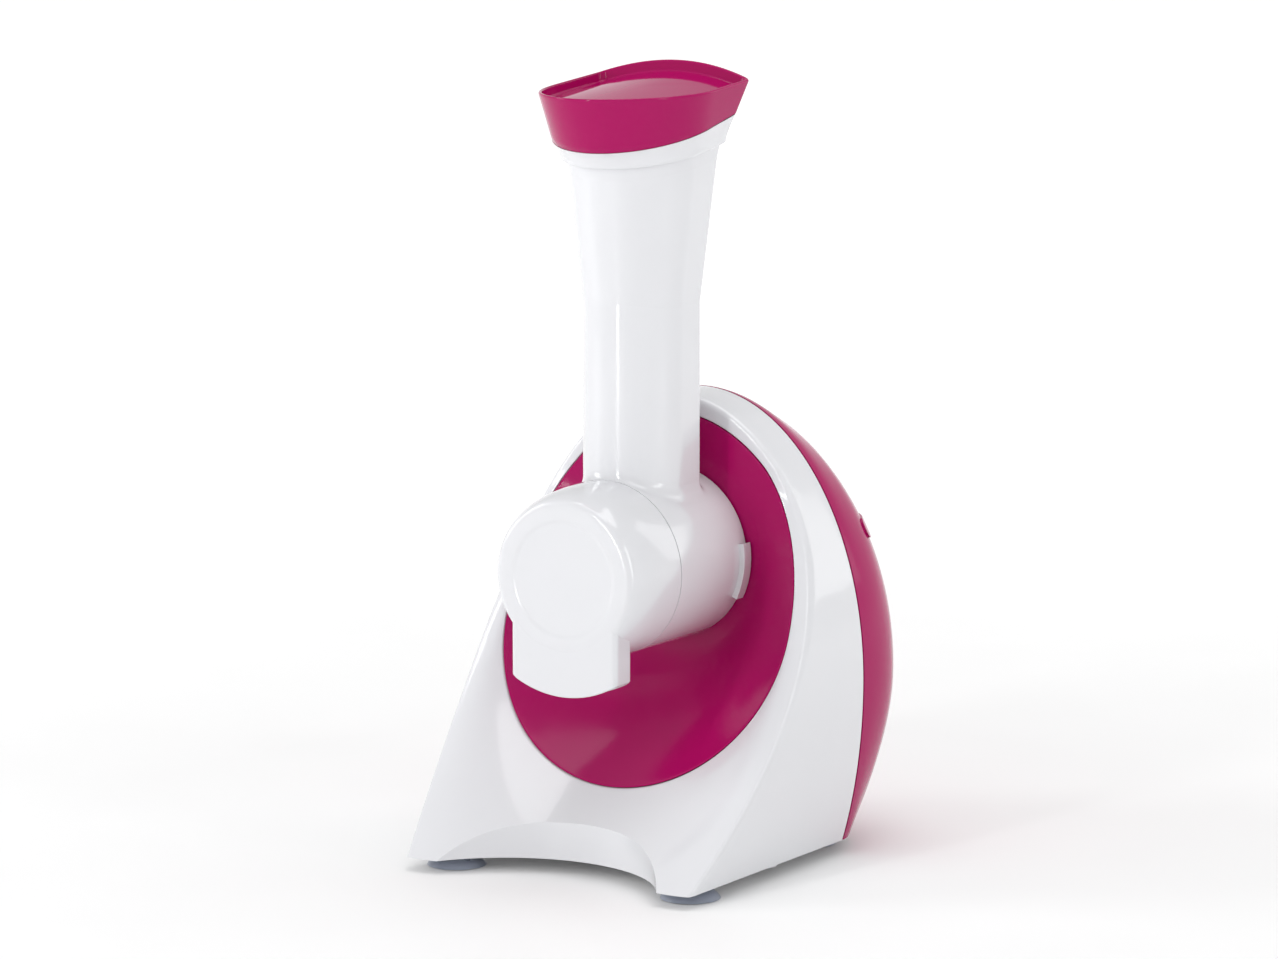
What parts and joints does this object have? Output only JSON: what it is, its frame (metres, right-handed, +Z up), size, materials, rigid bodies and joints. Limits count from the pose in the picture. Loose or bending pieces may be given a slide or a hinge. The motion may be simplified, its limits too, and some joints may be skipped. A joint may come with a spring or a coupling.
{
  "type": "ice cream maker",
  "caption": "Countertop frozen-fruit ice cream maker: egg-shaped motor housing, horizontal chamber with spout, and a tall flared feed chute with a pusher.",
  "frame": {"origin": "middle of the bounding box's footprint, on the table", "axes": "+Z up; the front and the spout face -Y; +X is the object's left-right direction, to the right when seen from the front"},
  "size_m": [0.1772, 0.2106, 0.3731],
  "materials": {
    "white_shell": "high gloss",
    "white_chamber": "high gloss",
    "white_cap": "high gloss",
    "white_pusher": "high gloss",
    "white_rotor": "satin",
    "magenta_shell": "high gloss",
    "magenta_panel": "high gloss",
    "magenta_cap": "high gloss",
    "base_white": "fine texture",
    "blade_steel": "ground",
    "gear_plastic": "natural acetal",
    "gear_steel": "cut",
    "foot_rubber": "translucent",
    "shaft_steel": "ground",
    "bush_brass": "sintered",
    "seal_rubber": "matt",
    "black_plastic": "fine texture",
    "screw_steel": "zinc plated",
    "lamination_steel": "laminated",
    "copper_coil": "enamelled",
    "carbon": "pressed",
    "capacitor_yellow": "satin",
    "gland_rubber": "satin"
  },
  "bodies": {
    "housing": {"front_housing": "white_shell", "rear_housing": "magenta_shell", "front_panel": "magenta_panel", "base_plate": "base_white", "bayonet_hub": "magenta_panel", "suction_foot_front_left": "foot_rubber", "suction_foot_front_right": "foot_rubber", "suction_foot_rear_left": "foot_rubber", "suction_foot_rear_right": "foot_rubber", "shaft_bush_front": "bush_brass", "shaft_bush_rear": "bush_brass", "gearbox_tray": "black_plastic", "gearbox_cover": "black_plastic", "gearbox_screws": "screw_steel", "intermediate_pin": "shaft_steel", "stator_core": "lamination_steel", "field_coils": "copper_coil", "carbon_brushes": "carbon", "brush_holders": "bush_brass", "motor_bracket_front": "lamination_steel", "motor_bracket_rear": "lamination_steel", "motor_bush_front": "bush_brass", "motor_bush_rear": "bush_brass", "motor_spacers": "screw_steel", "motor_cradle": "black_plastic", "switch_module": "black_plastic", "terminal_block": "black_plastic", "suppression_capacitor": "capacitor_yellow", "cord_gland": "gland_rubber", "housing_screws": "screw_steel"},
    "chamber": {"feed_chamber": "white_chamber", "shaft_seal": "seal_rubber"},
    "cap": {"front_cap": "white_cap"},
    "pusher": {"pusher_body": "white_pusher", "pusher_cap": "magenta_cap"},
    "rotor": {"drive_shaft": "shaft_steel", "output_gear": "gear_plastic", "shaft_circlip": "shaft_steel", "rotor_cone": "white_rotor", "rotor_blades": "blade_steel"},
    "intermediate": {"intermediate_gear": "gear_plastic"},
    "armature": {"motor_shaft": "shaft_steel", "armature_core": "lamination_steel", "armature_winding": "copper_coil", "commutator": "copper_coil", "cooling_fan": "black_plastic", "motor_pinion": "gear_steel"},
    "switch": {"power_switch": "magenta_shell"}
  },
  "joints": [
    {"name": "chamber_twist", "type": "hinge", "parent": "housing", "child": "chamber", "pos_m": [0, 0, 0.142], "axis": [0, 1, 0], "range_deg": [0, 35]},
    {"name": "cap_twist", "type": "hinge", "parent": "chamber", "child": "cap", "pos_m": [0, -0.06, 0.142], "axis": [0, 1, 0], "range_deg": [0, 40]},
    {"name": "pusher_lift", "type": "slide", "parent": "chamber", "child": "pusher", "axis": [0, 0, 1], "range_m": [0, 0.15]},
    {"name": "armature_spin", "type": "hinge", "parent": "housing", "child": "armature", "pos_m": [0, 0.06, 0.085], "axis": [0, 1, 0], "continuous": true},
    {"name": "intermediate_spin", "type": "hinge", "parent": "housing", "child": "intermediate", "pos_m": [0.01678, 0.025, 0.10987], "axis": [0, 1, 0], "continuous": true},
    {"name": "rotor_spin", "type": "hinge", "parent": "housing", "child": "rotor", "pos_m": [0, 0, 0.142], "axis": [0, 1, 0], "continuous": true},
    {"name": "switch_press", "type": "slide", "parent": "housing", "child": "switch", "axis": [-0.866, -0.5, 0], "range_m": [0, 0.0025], "stiffness_N_per_m": 300}
  ],
  "couplings": [
    {"joint": "intermediate_spin", "follows": "armature_spin", "ratio": -0.25},
    {"joint": "rotor_spin", "follows": "armature_spin", "ratio": 0.079545}
  ]
}
